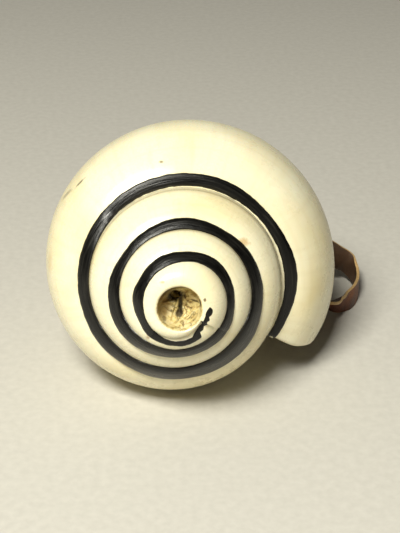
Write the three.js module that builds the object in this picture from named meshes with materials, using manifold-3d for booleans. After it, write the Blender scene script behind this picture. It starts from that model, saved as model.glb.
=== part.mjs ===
// A white conch shell made into a trumpet: the tip of the spire is ground off to a cupped mouth
// hole, black lac fills the spiral seam from that hole to the lip, and a leather carrying loop
// passes through a hole drilled in the lip. Millimetres. The shell is first described round its own
// axis, which is z with the spire up, and is then laid down, lip to the right, on the plane z = 0.

import * as THREE from "three";
import Module from "manifold-3d";
import { mergeVertices } from "three/addons/utils/BufferGeometryUtils.js";

// Driving dimensions. A place along the spiral is given in turns back from the end of the seam at
// the lip, so 0 is there, 1 is one whole turn earlier in the shell's growth, and so on.
const LIP = -0.041; // where the last whorl begins
const LIP_ANGLE = -18; // degrees round the axis at place 0, seen from the spire
const SEAM_RADIUS = 33.8; // of the seam's middle at place 0
const SEAM_DECAY = [0.3078, 0.083, -0.0159]; // how fast the seam's radius shrinks, per turn
const SEAM_CURL = 0.2; // how far the seam's end turns in to the mouth hole
const SPIRE_SLOPE = 1.319; // rise of the seam for each millimetre it comes in
const SPIRE_EASE = 0.044; // and how that slope eases towards the tip
const WALL_RATIO = 0.93; // radius of the upright wall beside the seam, over the seam's
const LIP_RADIUS = 52.1; // the widest place of the whorl at the lip
const LIP_DROP = 32.2; // and how far below the seam it lies
const RADIUS_EASE = 1.9;
const DROP_EASE = 4.0;
const CANAL_END = -112; // the lower end of the shell
const CANAL_RADIUS = 8.5;
const NECK_RADIUS = 14;
const HOLE_RADIUS = 6.1; // mouth hole
const HOLE_TOP = 32.4;
const CUP_DEPTH = 8.5;
const WALL = 3.8; // thickness of the shell at the lip
const PASSAGE_END = 3.33; // the hollow winds this many turns up to the mouth hole
const CAVITY_TURNS = 0.8; // and this much of it has the full section of the whorl
const REST_TILT = 15.38; // degrees that the spire end is raised when the shell lies down
const REST_ROLL = -0.96; // degrees that the shell is turned round its axis there
const REST_HEIGHT = 37.9; // of the axis at the seam's end, above the resting plane
const STRAP_WIDTH = 8;
const STRAP_THICKNESS = 1.2;
const STRAP_HOLE = 9.2; // drilled through the lip for the strap
const LAC_WIDTH = [[0, 3.4], [0.07, 4.3], [0.2, 3.7], [0.5, 3.3], [0.65, 3.9], [1, 4], [1.15, 3],
  [1.4, 2.4], [1.65, 3.2], [1.8, 2.4], [1.95, 2.7], [2.1, 2.2], [2.25, 2.6], [2.5, 2.4], [2.75, 2.2],
  [2.86, 2.2], [2.91, 1.2], [3, 1.2]]; // at places along the seam, as laid by hand
const LAC_DEPTH = [[2.5, 1.4], [2.7, 0.5]]; // how deep it is let into the shell
const LAC_END = 2.97;
const LIP_EDGE = [[0.15, 0], [0.25, 0.005], [0.31, 0.03], [0.4, 0.048], [0.55, 0.055], [0.8, 0.03],
  [1, 0]]; // how far back the lip's edge lies, in turns, from the seam down to the canal
const FOLDS = [0.54, 0.62, 0.7]; // the folds on the pillar inside, between seam and canal
const FOLD_RADIUS = 1.6;
const GAP = 0.3; // between one piece and the next

const TURN = 2 * Math.PI;
const STEPS = 36; // rows in one turn

const mix = (a, b, t) => a + (b - a) * t;
const clamp = (t) => Math.min(1, Math.max(0, t));
const smooth = (t) => clamp(t) ** 2 * (3 - 2 * clamp(t));
const knots = (table, n) => {
  const found = table.findIndex(([at]) => at >= n);
  const i = found < 0 ? table.length - 1 : Math.max(1, found);
  const [[a, va], [b, vb]] = [table[i - 1], table[i]];
  return mix(va, vb, clamp((n - a) / (b - a)));
};

// The seam, as [radius, height] in the half plane through the axis at place n.
function seam(n) {
  const [a, b, c] = SEAM_DECAY;
  const radius = SEAM_RADIUS * Math.exp(-(a * n + b * n * n + c * n ** 3));
  const inward = SEAM_RADIUS - radius;
  const curl = 1 - SEAM_CURL * smooth((n - 2.7) / 0.3);
  return [radius * curl, SPIRE_SLOPE * inward - (SPIRE_EASE * inward * inward) / SEAM_RADIUS];
}

// The corner under the seam, where a whorl starts against the wall of the one before.
function corner(n) {
  const [radius, height] = seam(n);
  return [WALL_RATIO * radius, height - 0.03 * radius];
}

// The widest place of the whorl that starts at place n.
function widest(n) {
  if (n >= LIP + 1) return corner(n - 1);
  const x = n - LIP;
  const [radius, height] = corner(LIP);
  return [
    mix(LIP_RADIUS, radius, x) - RADIUS_EASE * x * (1 - x),
    mix(-LIP_DROP, height, x) + DROP_EASE * x * (1 - x),
  ];
}

// The whorl's upper face: a quarter of an ellipse from the corner out and down to the widest place.
function upper(n, t) {
  const [cr, ch] = corner(n);
  const [wr, wh] = widest(n);
  const a = (t * Math.PI) / 2;
  return [mix(cr, wr, Math.sin(a)), mix(wh, ch, Math.cos(a))];
}

const bezier = (p, t) =>
  [0, 1].map((k) => (1 - t) ** 3 * p[0][k] + 3 * (1 - t) ** 2 * t * p[1][k]
    + 3 * (1 - t) * t * t * p[2][k] + t ** 3 * p[3][k]);

// The face below it, which narrows to the canal.
function lower(n, t, neck = NECK_RADIUS, end = CANAL_RADIUS) {
  const [radius, height] = widest(n);
  const fall = height - CANAL_END;
  return bezier([[radius, height], [radius, height - 0.3 * fall],
    [neck, height - 0.45 * fall], [end, CANAL_END]], t);
}

const skin = (n, s) => (s < 0.4 ? upper(n, s / 0.4) : lower(n, (s - 0.4) / 0.6));

// From the half plane at place n to the shell's own space.
function place([radius, height], n) {
  const angle = (LIP_ANGLE * Math.PI) / 180 + TURN * n;
  return [radius * Math.cos(angle), radius * Math.sin(angle), height]
    .map((v) => Math.round(v * 1e3) / 1e3);
}

// Closed solids, joined and cut.
const wasm = await Module();
wasm.setup();

function solid(points, faces) {
  const geometry = new THREE.BufferGeometry();
  geometry.setAttribute("position", new THREE.Float32BufferAttribute(points.flat(), 3));
  geometry.setIndex(faces.flat());
  return solidOf(geometry);
}

function solidOf(source) {
  const bare = source.clone();
  bare.deleteAttribute("normal");
  bare.deleteAttribute("uv");
  const merged = mergeVertices(bare, 1e-4);
  const index = [];
  for (let i = 0; i < merged.index.count; i += 3) {
    const [a, b, c] = [0, 1, 2].map((k) => merged.index.getX(i + k));
    if (a !== b && b !== c && c !== a) index.push(a, b, c);
  }
  return new wasm.Manifold(new wasm.Mesh({
    numProp: 3,
    vertProperties: new Float32Array(merged.attributes.position.array),
    triVerts: new Uint32Array(index),
  }));
}

function geometryOf(manifold) {
  const { numProp, vertProperties, triVerts } = manifold.getMesh();
  const count = vertProperties.length / numProp;
  const position = new Float32Array(count * 3);
  for (let i = 0; i < count; i++)
    position.set(vertProperties.subarray(i * numProp, i * numProp + 3), i * 3);
  const geometry = new THREE.BufferGeometry();
  geometry.setAttribute("position", new THREE.BufferAttribute(position, 3));
  geometry.setIndex(new THREE.BufferAttribute(new Uint32Array(triVerts), 1));
  return geometry;
}

// A closed solid through rings of points, with a flat cap on each end, or joined into a loop.
function sweep(rings, loop = false) {
  const size = rings[0].length;
  const faces = [];
  const at = (i, j) => (i % rings.length) * size + (j % size);
  for (let i = 0; i + (loop ? 0 : 1) < rings.length; i++)
    for (let j = 0; j < size; j++) {
      faces.push([at(i, j), at(i + 1, j), at(i + 1, j + 1)]);
      faces.push([at(i, j), at(i + 1, j + 1), at(i, j + 1)]);
    }
  const points = rings.flat();
  for (const [i, turn] of loop ? [] : [[0, false], [rings.length - 1, true]]) {
    const ring = rings[i];
    const middle = [0, 1, 2].map((k) => ring.reduce((sum, p) => sum + p[k], 0) / size);
    points.push(middle);
    for (let j = 0; j < size; j++) {
      const face = [points.length - 1, at(i, j), at(i, j + 1)];
      faces.push(turn ? face.reverse() : face);
    }
  }
  const made = solid(points, faces);
  return made.volume() < 0 ? solid(points, faces.map((f) => [...f].reverse())) : made;
}

const places = (from, to, perTurn = STEPS) => {
  const count = Math.max(2, Math.round((to - from) * perTurn));
  return Array.from({ length: count + 1 }, (_, i) => mix(from, to, i / count));
};
const parts = (count) => Array.from({ length: count }, (_, i) => (i + 1) / count);

// The whole outside, from the bottom of the cup over the rim and down the whorls to the canal.
const cup = [[0, HOLE_TOP - CUP_DEPTH], [3.6, HOLE_TOP - CUP_DEPTH + 0.6],
  [5.2, HOLE_TOP - 5.2], [5.8, HOLE_TOP - 1.6], [HOLE_RADIUS, HOLE_TOP - 0.3]];
function dome(n, t) {
  const [radius, height] = corner(n);
  const a = (t * Math.PI) / 2;
  return [mix(HOLE_RADIUS + 0.6, radius, Math.sin(a)), mix(height, HOLE_TOP, Math.cos(a))];
}
function outline(n) {
  const run = (count, f) => parts(count).map(f);
  return {
    head: [...cup, dome(n + 2, 0), ...run(5, (t) => dome(n + 2, t))],
    second: run(6, (t) => upper(n + 2, t)),
    first: run(6, (t) => upper(n + 1, t)),
    body: run(6, (t) => upper(n, t)),
    tail: [...run(12, (t) => lower(n, t)), [CANAL_RADIUS - 1.2, CANAL_END - 1.2],
      [0, CANAL_END - 1.2]],
  };
}
const joined = (o) => [o.head, o.second, o.first, o.body, o.tail].flat();

// Triangles between two lines of points that share their first and last.
function zip(a, b, points, faces) {
  const start = points.length;
  points.push(...a, ...b);
  const far = (i, j) => Math.hypot(...a[i].map((v, k) => v - b[j][k]));
  for (let i = 0, j = 0; i < a.length - 1 || j < b.length - 1; ) {
    const stepA = j === b.length - 1 || (i < a.length - 1 && far(i + 1, j) < far(i, j + 1));
    if (stepA) faces.push([start + i, start + i + 1, start + a.length + j]);
    else faces.push([start + i, start + a.length + j + 1, start + a.length + j]);
    if (stepA) i++;
    else j++;
  }
}

function outside() {
  const rows = places(LIP, LIP + 1).map((n) => joined(outline(n)).map((p) => place(p, n)));
  const points = rows.flat();
  const faces = [];
  const size = rows[0].length;
  for (let i = 0; i + 1 < rows.length; i++)
    for (let j = 0; j + 1 < size; j++) {
      const [a, b] = [i * size + j, (i + 1) * size + j];
      faces.push([a, a + 1, b + 1], [a, b + 1, b]);
    }
  // The last row meets the first one whorl further in: the two outlines differ at the mouth hole,
  // where the seam ends, and at the lip, where the last whorl stands out as a step.
  const [last, first] = [outline(LIP + 1), outline(LIP)];
  const at = (list) => list.map((p) => place(p, LIP));
  zip(at([...last.head, ...last.second]), at(first.head), points, faces);
  zip(at([last.body.at(-1), ...last.tail]), at([first.first.at(-1), ...first.body, ...first.tail]),
    points, faces);
  return solid(points, faces);
}

// The wall is thinner at the canal, and thicker under the seam.
const wall = (s) => mix(mix(WALL + 0.8, WALL, clamp(s / 0.3)), 2.6, smooth((s - 0.6) / 0.35));
function inset(n, s, by) {
  const [a, b] = [skin(n, Math.max(0, s - 0.01)), skin(n, Math.min(1, s + 0.01))];
  const [dr, dh] = [b[0] - a[0], b[1] - a[1]];
  const long = Math.hypot(dr, dh);
  const [r, h] = skin(n, s);
  return [r + (by * dh) / long, h - (by * dr) / long];
}

// The older flank, round which the hollow winds.
const pillar = (n, s) =>
  lower(n + 1, mix(0.03, 1, s ** 1.2), mix(NECK_RADIUS, 10, smooth((n - LIP) / 0.2)), 3.2);

const levels = [0.1, 0.16, 0.23, 0.31, 0.4, 0.48, 0.55, 0.62, 0.69, 0.76, 0.84, 0.92, 1];
function cavity() {
  const rings = places(LIP - 0.02, LIP + CAVITY_TURNS, 24).map((n) => {
    const near = levels.map((s) => pillar(n, s));
    const far = levels.map((s) => inset(n, s, wall(s)));
    near.push([3.2, CANAL_END - 4]);
    far.push([CANAL_RADIUS - 2.6, CANAL_END - 4]);
    return [...near, ...far.reverse()].map((p) => place(p, n));
  });
  return sweep(rings);
}

// The edge of the lip is not straight: below its rounded upper end it draws back.
function lipTrim() {
  const rings = [0, ...parts(15)].map((t) => mix(0.14, 0.946, t)).map((s) => {
    const back = LIP + knots(LIP_EDGE, s) + 0.0005;
    const inner = (n) => inset(n, s, wall(s) + 2);
    const outer = (n) => inset(n, s, -7);
    return [[inner, LIP - 0.03], [outer, LIP - 0.03], [outer, mix(LIP - 0.03, back, 0.5)],
      [outer, back], [inner, back]].map(([f, n]) => place(f(n), n));
  });
  return sweep(rings);
}

// The canal is open along its length on the side of the aperture.
function canalSlot() {
  const down = [0.78, 0.86, 0.93, 1];
  const rings = places(LIP - 0.06, LIP + 0.02, 50).map((n) => {
    const near = [...down.map((s) => pillar(n, s)), [3.2, CANAL_END - 4]];
    const far = [...down.map((s) => inset(n, s, -6)), [CANAL_RADIUS + 6, CANAL_END - 4]];
    return [...near, ...far.reverse()].map((p) => place(p, n));
  });
  return sweep(rings);
}

// A round tube along a path of places, each with its point in the half plane and its radius.
function tube(path, sides = 8) {
  const centres = path.map(({ n, point }) => new THREE.Vector3(...place(point, n)));
  const rings = centres.map((centre, i) => {
    const ahead = centres[Math.min(i + 1, centres.length - 1)];
    const behind = centres[Math.max(i - 1, 0)];
    const along = ahead.clone().sub(behind).normalize();
    const out = new THREE.Vector3(...place([1, 0], path[i].n));
    const across = along.clone().cross(out).normalize();
    out.copy(across).cross(along).normalize();
    return Array.from({ length: sides }, (_, j) => {
      const a = (TURN * j) / sides;
      return centre.clone().addScaledVector(out, path[i].radius * Math.cos(a))
        .addScaledVector(across, path[i].radius * Math.sin(a)).toArray();
    });
  });
  return sweep(rings);
}

// Past the open part of the last whorl the hollow goes on as a narrow passage to the mouth hole.
function passage() {
  return tube(places(LIP + CAVITY_TURNS - 0.05, PASSAGE_END, 14).map((n) => {
    const [cr, ch] = corner(n);
    const [wr, wh] = widest(n);
    const home = smooth((n - 2.4) / 0.85);
    const rise = 36 * Math.min(0.14, PASSAGE_END - n); // steep at the end, to open in the cup's floor
    return {
      n,
      point: [mix(mix(cr, wr, 0.5), 3.9, home),
        mix(mix(wh, ch, 0.2), HOLE_TOP - CUP_DEPTH + 1.4 - rise, home)],
      radius: mix(0.3 * (wr - cr), 2.2, home),
    };
  }));
}

const fold = (s) => tube(places(LIP - 0.012, LIP + 0.5, 18).map((n) => {
  const t = (n - LIP + 0.012) / 0.512;
  const swell = smooth(t * 8) * smooth((1 - t) * 5);
  return { n, point: pillar(n, s), radius: FOLD_RADIUS * (0.25 + 0.75 * swell) };
}), 6);

// The section of the lac in the corner under the seam. The groove for it is wider by the gap, and
// open outwards.
function lacSection(n, gap) {
  const [cr, ch] = corner(n);
  const [wr, wh] = widest(n);
  const width = knots(LAC_WIDTH, n);
  const depth = knots(LAC_DEPTH, n) + gap;
  const climb = 0.6 * width + gap;
  const reach = width + gap;
  const edge = mix(wh, ch, Math.sqrt(1 - (reach / (wr - cr)) ** 2));
  const proud = gap ? 1.2 : 0.15;
  return [[cr - depth, ch - depth], [cr + reach - 0.2, edge - depth], [cr + reach, edge + proud],
    [cr + 0.6 * width + proud, ch + 0.5 * climb + proud], [cr + proud, ch + climb],
    [cr - depth, ch + climb - 0.2]];
}
const lacRun = (from, to, gap) =>
  sweep(places(from, to, 30).map((n) => lacSection(n, gap).map((p) => place(p, n))));

// The shell as it lies: spire to the front and a little raised, lip to the right.
const lying = new THREE.Group();
lying.rotation.set(THREE.MathUtils.degToRad(90 - REST_TILT), 0, THREE.MathUtils.degToRad(REST_ROLL));

// The leather loop, from the hole in the lip outwards, down to stand on its edge beside the shell,
// back under the lip and up inside to the hole. Each row is a point of its middle and the way its
// width points there.
const route = [
  [37.2, 53.2, 23, 0, 0, -1], [41.6, 56.7, 22.6, 0, 0, -1], [46.4, 60.6, 19.2, 0, 0, -1],
  [51.2, 63.4, 14.8, 0, 0, -1], [56.1, 65, 10.8, 0, 0, -1], [60.6, 65.2, 7.4, 0, 0, -1],
  [63, 61, 4.6, 0, 0, -1], [62.9, 55.9, 4, 0, 0, -1], [61, 49.6, 4, 0, 0, -1],
  [58.9, 46.2, 4, 0, 0.05, -1], [56.2, 43.8, 4.2, 0, 0.3, -0.95], [53, 40.2, 6.3, 0, 0.7, -0.71],
  [50, 37, 8.2, 0, 0.88, -0.47], [44.5, 38.2, 9.2, 0, 0.88, -0.47], [38, 40.4, 12, 0.1, 0.8, -0.6],
  [32.4, 43.6, 17, 0, 0.5, -0.86], [31.4, 47.8, 21.4, 0, 0.1, -1], [33.4, 50.2, 23, 0, 0, -1],
];
function strap() {
  const middle = new THREE.CatmullRomCurve3(
    route.map(([x, y, z]) => new THREE.Vector3(x, y, z)), true);
  const across = new THREE.CatmullRomCurve3(
    route.map(([, , , x, y, z]) => new THREE.Vector3(x, y, z)), true);
  const [half, thin, round] = [STRAP_WIDTH / 2, STRAP_THICKNESS / 2, 0.25];
  const section = [[thin - round, half], [thin, half - round], [thin, round - half],
    [thin - round, -half], [round - thin, -half], [-thin, round - half], [-thin, half - round],
    [round - thin, half]];
  const count = 54;
  const rings = Array.from({ length: count }, (_, i) => {
    const along = middle.getTangent(i / count);
    const side = across.getPoint(i / count);
    side.addScaledVector(along, -side.dot(along)).normalize();
    const face = along.clone().cross(side);
    return section.map(([f, w]) => middle.getPoint(i / count).addScaledVector(face, f)
      .addScaledVector(side, w).toArray());
  });
  return sweep(rings, true);
}

// The hole for it goes straight through the lip.
function strapHole() {
  const [x, y, z] = route[0];
  const drill = new THREE.Mesh(new THREE.CylinderGeometry(STRAP_HOLE / 2, STRAP_HOLE / 2, 16, 20));
  drill.position.set(x, y, z);
  const way = new THREE.Vector3(0.78, 0.62, 0).normalize();
  drill.quaternion.setFromUnitVectors(new THREE.Vector3(0, 1, 0), way);
  drill.updateMatrix();
  lying.updateMatrix();
  const home = lying.matrix.clone().invert();
  return solidOf(drill.geometry.applyMatrix4(drill.matrix).applyMatrix4(home));
}

lying.position.set(0, 0, REST_HEIGHT);
const hollow = cavity().add(passage());
const shell = FOLDS.reduce((body, s) => body.add(fold(s)), outside().subtract(hollow))
  .subtract(lipTrim()).subtract(canalSlot()).subtract(lacRun(LIP - 0.02, LAC_END + 0.01, GAP))
  .subtract(strapHole());
const lac = lacRun(LIP + 0.004, LAC_END, 0);

function piece(name, body, color, roughness) {
  const material = new THREE.MeshStandardMaterial({ color, roughness, metalness: 0 });
  const mesh = new THREE.Mesh(geometryOf(body), material);
  mesh.name = name;
  return mesh;
}

const object = new THREE.Group();
lying.add(piece("shell", shell, "#f3efd9", 0.3), piece("suture_inlay", lac, "#15140f", 0.25));
object.add(lying, piece("strap", strap(), "#8a5a2b", 0.6));

// The origin is on the resting plane, under the middle of the whole object.
const box = new THREE.Box3().setFromObject(object, true);
object.position.set(-(box.min.x + box.max.x) / 2, -(box.min.y + box.max.y) / 2, -box.min.z);

const root = new THREE.Group();
root.add(object);
export default root;
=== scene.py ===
# %% [markdown]
# # A white conch shell made into a trumpet
# The shell lies with the tip of its spire towards us. The tip is ground off to a cupped mouth hole,
# black lac fills the spiral seam, and a leather carrying loop hangs from the lip. We load the packed
# solids first, because everything that is added here has to stay inside their box.

# %% Load the frame
import math

import bmesh
import bpy
import numpy as np
from mathutils import Matrix, Vector, noise
from mathutils.bvhtree import BVHTree


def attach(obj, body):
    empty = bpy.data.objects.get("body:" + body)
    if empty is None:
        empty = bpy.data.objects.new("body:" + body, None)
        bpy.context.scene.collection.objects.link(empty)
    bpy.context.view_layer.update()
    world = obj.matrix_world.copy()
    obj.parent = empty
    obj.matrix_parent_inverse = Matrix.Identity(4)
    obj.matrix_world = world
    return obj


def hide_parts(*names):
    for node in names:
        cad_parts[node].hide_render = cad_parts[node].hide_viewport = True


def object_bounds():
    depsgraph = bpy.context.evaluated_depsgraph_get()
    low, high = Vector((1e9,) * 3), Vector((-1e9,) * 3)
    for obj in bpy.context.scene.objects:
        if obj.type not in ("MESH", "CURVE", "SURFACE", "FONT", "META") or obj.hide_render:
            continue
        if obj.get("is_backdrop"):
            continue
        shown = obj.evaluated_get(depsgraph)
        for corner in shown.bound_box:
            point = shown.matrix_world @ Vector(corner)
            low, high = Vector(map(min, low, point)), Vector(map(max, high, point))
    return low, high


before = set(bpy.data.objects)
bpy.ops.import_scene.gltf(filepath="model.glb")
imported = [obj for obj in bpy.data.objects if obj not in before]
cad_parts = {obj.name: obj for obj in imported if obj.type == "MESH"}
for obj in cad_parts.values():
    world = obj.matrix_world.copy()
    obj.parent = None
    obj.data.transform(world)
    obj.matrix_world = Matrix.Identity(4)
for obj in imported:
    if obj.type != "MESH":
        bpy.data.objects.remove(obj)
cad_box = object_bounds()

print("nodes", sorted(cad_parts), "box", [tuple(round(v, 4) for v in c) for c in cad_box])

# %% [markdown]
# ## The rule of the shell
# A snail adds to its shell in one long spiral, and each whorl leans on the one before. So one line
# is enough to describe it: the seam, whose radius shrinks by a steady share in every turn while it
# climbs the spire. Lengths are millimetres here, and a place on the line is given in turns back from
# the lip. The shell is made round its own upright axis and laid down at the end.

# %% Numbers of the shell
LIP = -0.041  # where the last whorl begins, in turns
LIP_ANGLE = math.radians(-18)
SEAM_RADIUS, SEAM_DECAY, SEAM_CURL = 33.8, (0.3078, 0.083, -0.0159), 0.2
SPIRE_SLOPE, SPIRE_EASE, WALL_RATIO = 1.319, 0.044, 0.93
LIP_RADIUS, LIP_DROP, RADIUS_EASE, DROP_EASE = 52.1, 32.2, 1.9, 4.0
CANAL_END, CANAL_RADIUS, NECK_RADIUS = -112.0, 8.5, 14.0
HOLE_RADIUS, HOLE_TOP, CUP_DEPTH = 6.1, 32.4, 8.5
OFF_AXIS = 0.6  # the cup was ground a little below the shell's own axis
WALL = 3.8  # thickness of the shell at the lip
CAVITY_TURNS = 0.8  # of the hollow have the full section of the whorl
PASSAGE_END = 3.41  # and then it winds on, narrow, to this place
FOLD_LEVELS, FOLD_RADIUS = (0.54, 0.62, 0.7), 1.6
STRAP_HOLE_RADIUS = 4.6
LAC_END = 3.048
REST_TILT, REST_ROLL, REST_HEIGHT = 15.38, -0.96, 37.9
SHIFT = (-12.0671, -38.9881, 0.0546)  # puts the middle of the whole object over the origin
TURN = 2 * math.pi


def mix(a, b, t):
    return a + (b - a) * t


def smooth(t):
    t = np.clip(t, 0, 1)
    return t * t * (3 - 2 * t)


def knots(table, n):
    at, value = zip(*table)
    return np.interp(n, at, value)


def seam(n):
    """Radius and height of the seam at n turns back from the lip."""
    a, b, c = SEAM_DECAY
    radius = SEAM_RADIUS * np.exp(-(a * n + b * n**2 + c * n**3))
    inward = SEAM_RADIUS - radius
    curl = 1 - SEAM_CURL * smooth((n - 2.7) / 0.3)
    return radius * curl, SPIRE_SLOPE * inward - SPIRE_EASE * inward**2 / SEAM_RADIUS


def corner(n):
    radius, height = seam(n)
    return WALL_RATIO * radius, height - 0.03 * radius


def widest(n):
    """The widest place of the whorl that starts at n: past the first turn it is the seam itself."""
    n = np.asarray(n, float)
    x = np.clip(n - LIP, 0, 1)
    radius, height = corner(LIP)
    last = (mix(LIP_RADIUS, radius, x) - RADIUS_EASE * x * (1 - x),
            mix(-LIP_DROP, height, x) + DROP_EASE * x * (1 - x))
    older = corner(np.maximum(n - 1, LIP))
    return tuple(np.where(n >= LIP + 1, o, w) for o, w in zip(older, last))


def place(radius, height, n):
    """Points in the shell's own space, in metres."""
    angle = LIP_ANGLE + TURN * np.asarray(n)
    return np.stack([radius * np.cos(angle), radius * np.sin(angle), height + 0 * angle], -1) / 1000


lay_down = (Matrix.Translation([v / 1000 for v in SHIFT]) @ Matrix.Translation((0, 0, REST_HEIGHT / 1000))
            @ Matrix.Rotation(math.radians(90 - REST_TILT), 4, "X")
            @ Matrix.Rotation(math.radians(REST_ROLL), 4, "Z"))
print("seam radius per turn", [round(float(seam(n)[0]), 1) for n in (0, 1, 2, 2.9)])

# %% [markdown]
# Blender's nodes are added by one small function everywhere below. It takes the kind of node, what
# goes into its sockets (a link from another node, or a plain value), which of its outputs to hand
# back, and its settings. Long kind names get short ones.

# %% One function for every node
MATH, VECTOR, WHOLE = "ShaderNodeMath", "ShaderNodeVectorMath", "FunctionNodeIntegerMath"
MIX, JOIN_XYZ, SPLIT_XYZ = "ShaderNodeMix", "ShaderNodeCombineXYZ", "ShaderNodeSeparateXYZ"
RAMP, NOISE, RANGE = "ShaderNodeValToRGB", "ShaderNodeTexNoise", "ShaderNodeMapRange"
ATTRIBUTE, BUMP, PLACED = "ShaderNodeAttribute", "ShaderNodeBump", "ShaderNodeMapping"


def colour(code):
    """Blender works in linear light, and colours are read off as sRGB hex."""
    parts = [int(code[i:i + 2], 16) / 255 for i in (1, 3, 5)]
    return tuple(c / 12.92 if c <= 0.04045 else ((c + 0.055) / 1.055) ** 2.4 for c in parts) + (1,)


def add(tree, kind, sockets=(), get=0, stops=(), **settings):
    node = tree.nodes.new(kind)
    for name, value in settings.items():
        setattr(node, name, value)
    for i, (position, code) in enumerate(stops):
        step = node.color_ramp.elements[i] if i < 2 else node.color_ramp.elements.new(position)
        step.position, step.color = position, colour(code)
    for name, value in sockets.items() if isinstance(sockets, dict) else enumerate(sockets):
        if isinstance(value, bpy.types.NodeSocket):
            tree.links.new(value, node.inputs[name])
        elif value is not None:
            node.inputs[name].default_value = value
    return node.outputs[get] if len(node.outputs) else node


# %% [markdown]
# ## Polished conch shell
# The real thing is aragonite in thin crossed layers, ground smooth and rubbed with wax. The eye reads
# it as old ivory: warm white with cream clouds, faint growth lines that run from seam to seam, and a
# soft wide gloss. Soot and lac have left a little brown beside the seam, and handling has left a few
# marks. Painted shade darkens the outer edge of the older whorls towards the seam below them, with a
# painted line of shade along a fine step there. The pattern follows the growth through three numbers
# on the mesh, which come further down.

# %% Polished shell: colours and growth
def new_material(name):
    material = bpy.data.materials.new(name)
    material.use_nodes = True
    tree = material.node_tree
    return material, tree, tree.nodes["Principled BSDF"].inputs, add(tree, "ShaderNodeTexCoord", get="Object")


def paint(tree, shade, layers):
    """Lays one colour after another over a base, each where its mask says."""
    for mask, code, strength in layers:
        amount = add(tree, MATH, [mask, strength], operation="MULTIPLY")
        shade = add(tree, MIX, {0: amount, 6: shade, 7: colour(code)}, get=2, data_type="RGBA")
    return shade


shell_stuff, tree, surface, own = new_material("polished_conch_shell")
upright = add(tree, PLACED, {"Vector": own, "Location": lay_down.translation, "Rotation": lay_down.to_euler()},
              vector_type="TEXTURE")
turn, across, inside = (add(tree, ATTRIBUTE, get="Fac", attribute_name=label)
                        for label in ("turn", "across", "inside"))
# cream clouds about 30 mm across
cloud = add(tree, NOISE, {"Vector": upright, "Scale": 33.0, "Detail": 3.0, "Distortion": 0.6})
ivory = add(tree, RAMP, [cloud], stops=[(0.3, "#f6f0d2"), (0.78, "#e8d8a2"), (0.52, "#f3eac6")])
# growth lines 2 to 3 mm apart, along the way the lip once stood
by_turn = [add(tree, MATH, [turn, size], operation="MULTIPLY") for size in (95.0, 3.0, 22.0)]
by_width = [add(tree, MATH, [across, size], operation="MULTIPLY") for size in (1.6, 14.0)]
growth = add(tree, NOISE, {"Vector": add(tree, JOIN_XYZ, [by_turn[0], by_width[0]]),
                           "Scale": 1.0, "Detail": 3.0})
lines = add(tree, RANGE, [growth, 0.5, 0.78, 0.0, 1.0])
rings = add(tree, NOISE, {"Vector": add(tree, JOIN_XYZ, [by_turn[1], by_width[1], 4.0]),
                          "Scale": 1.0, "Detail": 2.0})
ring_lines = add(tree, RANGE, [rings, 0.52, 0.75, 0.0, 1.0])

# %% Polished shell: the brown beside the seam, and painted shade beside the lower seam
patchy = add(tree, NOISE, {"Vector": add(tree, JOIN_XYZ, [by_turn[2], 0.0, 9.0]), "Scale": 0.5, "Detail": 4.0})
patchy = add(tree, RANGE, [patchy, 0.4, 0.65, 0.15, 1.0])
under = add(tree, RANGE, [across, 0.02, 0.14, 1.0, 0.0])
# painted shade: the outer edge of each older whorl darkens as it turns down to the seam below
over = add(tree, RANGE, [across, 0.9, 1.0, 0.0, 1.0])
on_spire = add(tree, MATH, [across, 1.01], operation="LESS_THAN")
older = add(tree, RANGE, [turn, 0.955, 0.97, 0.0, 1.0])  # only an older whorl has a seam below it
over = add(tree, MATH, [over, on_spire], operation="MULTIPLY")
over = add(tree, MATH, [over, older], operation="MULTIPLY")
# brown soot beside the upper seam and painted shade beside the lower one, both patchy
seam_soot_and_shade = add(tree, MATH, [add(tree, MATH, [under, over], operation="MAXIMUM"), patchy], operation="MULTIPLY")
# a fine step that the grinding left along the outer edge of the older whorls: a small bump, and a line of
# painted shade along it
off_step = add(tree, MATH, [add(tree, MATH, [across, 0.85], operation="SUBTRACT")], operation="ABSOLUTE")
step = add(tree, RANGE, [off_step, 0.0, 0.035, 1.0, 0.0])
step = add(tree, MATH, [step, older], operation="MULTIPLY")

# and painted shade: an olive tint that deepens towards the lac on the older whorls
shadow = add(tree, RANGE, [across, 0.72, 1.0, 0.0, 1.0])
shadow = add(tree, MATH, [shadow, on_spire], operation="MULTIPLY")
shadow = add(tree, MATH, [shadow, older], operation="MULTIPLY")

# %% Polished shell: marks of use, each at its own place on the surface in millimetres
MARKS = [  # place, half lengths along and across, the way it runs, colour, strength
    ((-40.5, -25.4, 63.7), (2.6, 0.75), (-0.7, -0.1, -0.7), "#4c4230", 0.8),
    ((-44.6, -23.5, 59), (3.6, 1.5), (-0.6, 0.35, -0.75), "#6d6248", 0.5),
    ((-16.4, -30.3, 72.3), (0.8, 0.55), (1, 0, 0), "#6b5c33", 0.8),
    ((6.8, -48.8, 55.3), (2.4, 1.4), (1, 0.3, -0.4), "#c49a52", 0.6),
    ((-20.4, -68.3, 36.7), (2.2, 1), (0.6, -0.1, 0.8), "#8a5a34", 0.6),
    ((-5.1, -69.6, 48.3), (0.7, 0.5), (0, 0, 1), "#5a4526", 0.85),
    ((-16.8, -68, 53.2), (0.9, 0.6), (1, 0, 0), "#9b8450", 0.6),
    ((-49.9, -33.7, 41.8), (5, 3), (0, 0.3, 1), "#d9bd84", 0.4)]
speckle = add(tree, NOISE, {"Vector": own, "Scale": 900.0, "Detail": 3.0})
marks = []
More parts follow.
